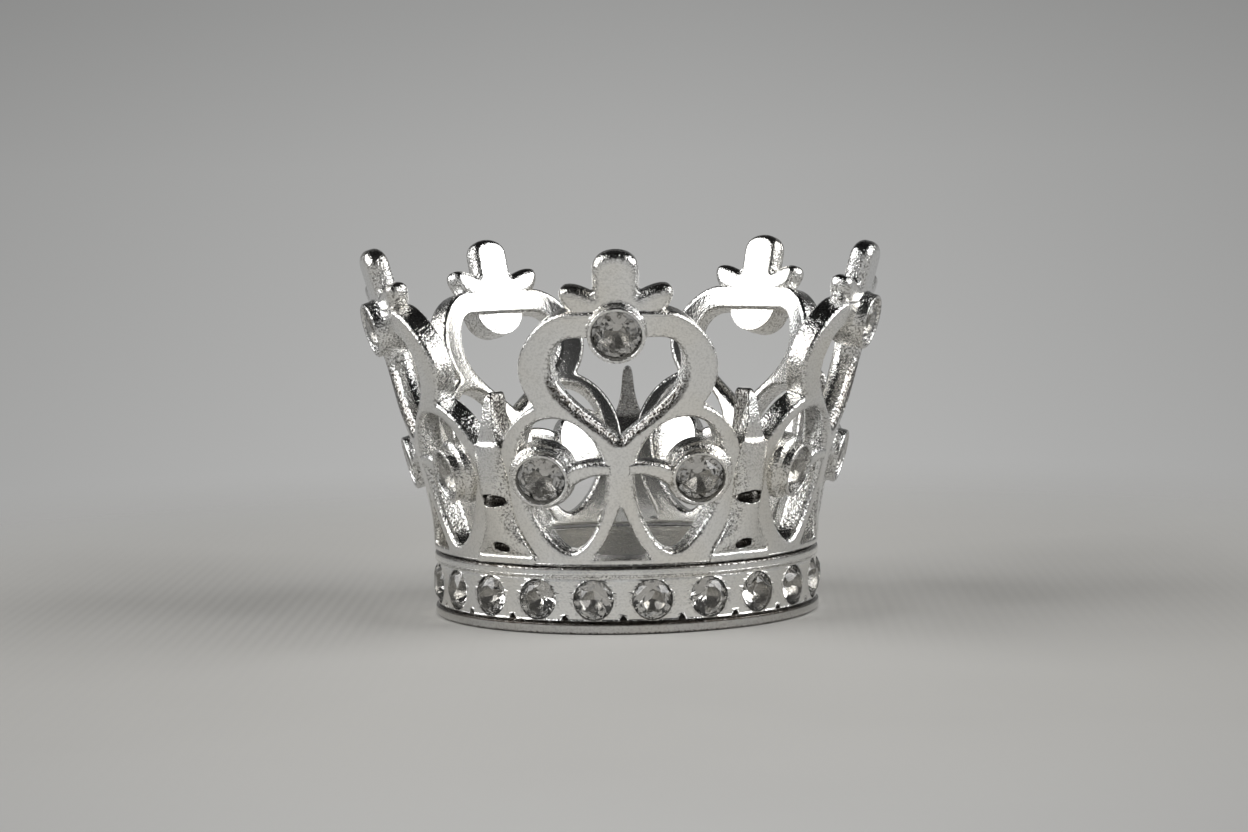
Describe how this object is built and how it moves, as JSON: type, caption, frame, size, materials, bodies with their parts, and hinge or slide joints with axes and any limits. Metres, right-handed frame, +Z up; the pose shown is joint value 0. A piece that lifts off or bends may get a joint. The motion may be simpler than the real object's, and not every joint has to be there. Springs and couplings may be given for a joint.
{
  "type": "miniature crown",
  "caption": "Miniature standing crown: a ring band with pierced heart-shaped points that flare outwards, upright posts between them, and faceted stones in seats and cups.",
  "frame": {"origin": "middle of the crown's outer box, on the plane that it stands on; the ring's axis is about 1.2 mm towards +Y from it, because five points are not level front to back", "axes": "+Z up, parallel to the ring's axis, -Y towards the first heart, +X to that heart's right as seen from in front"},
  "size_m": [0.0398, 0.039, 0.0286],
  "materials": {
    "silver_plate": "bright silver plate over a cast base metal, slightly rippled",
    "crystal": "clear faceted glass with a foil back"
  },
  "bodies": {
    "root": {"base_band": "silver_plate", "heart_panel_1": "silver_plate", "heart_panel_2": "silver_plate", "heart_panel_3": "silver_plate", "heart_panel_4": "silver_plate", "heart_panel_5": "silver_plate", "valley_post_1": "silver_plate", "valley_post_2": "silver_plate", "valley_post_3": "silver_plate", "valley_post_4": "silver_plate", "valley_post_5": "silver_plate", "band_stone_01": "crystal", "band_stone_02": "crystal", "band_stone_03": "crystal", "band_stone_04": "crystal", "band_stone_05": "crystal", "band_stone_06": "crystal", "band_stone_07": "crystal", "band_stone_08": "crystal", "band_stone_09": "crystal", "band_stone_10": "crystal", "band_stone_11": "crystal", "band_stone_12": "crystal", "band_stone_13": "crystal", "band_stone_14": "crystal", "band_stone_15": "crystal", "band_stone_16": "crystal", "band_stone_17": "crystal", "band_stone_18": "crystal", "band_stone_19": "crystal", "band_stone_20": "crystal", "band_stone_21": "crystal", "heart_stone_1": "crystal", "heart_stone_2": "crystal", "heart_stone_3": "crystal", "heart_stone_4": "crystal", "heart_stone_5": "crystal", "side_stone_left_1": "crystal", "side_stone_right_1": "crystal", "side_stone_left_2": "crystal", "side_stone_right_2": "crystal", "side_stone_left_3": "crystal", "side_stone_right_3": "crystal", "side_stone_left_4": "crystal", "side_stone_right_4": "crystal", "side_stone_left_5": "crystal", "side_stone_right_5": "crystal"}
  },
  "joints": []
}
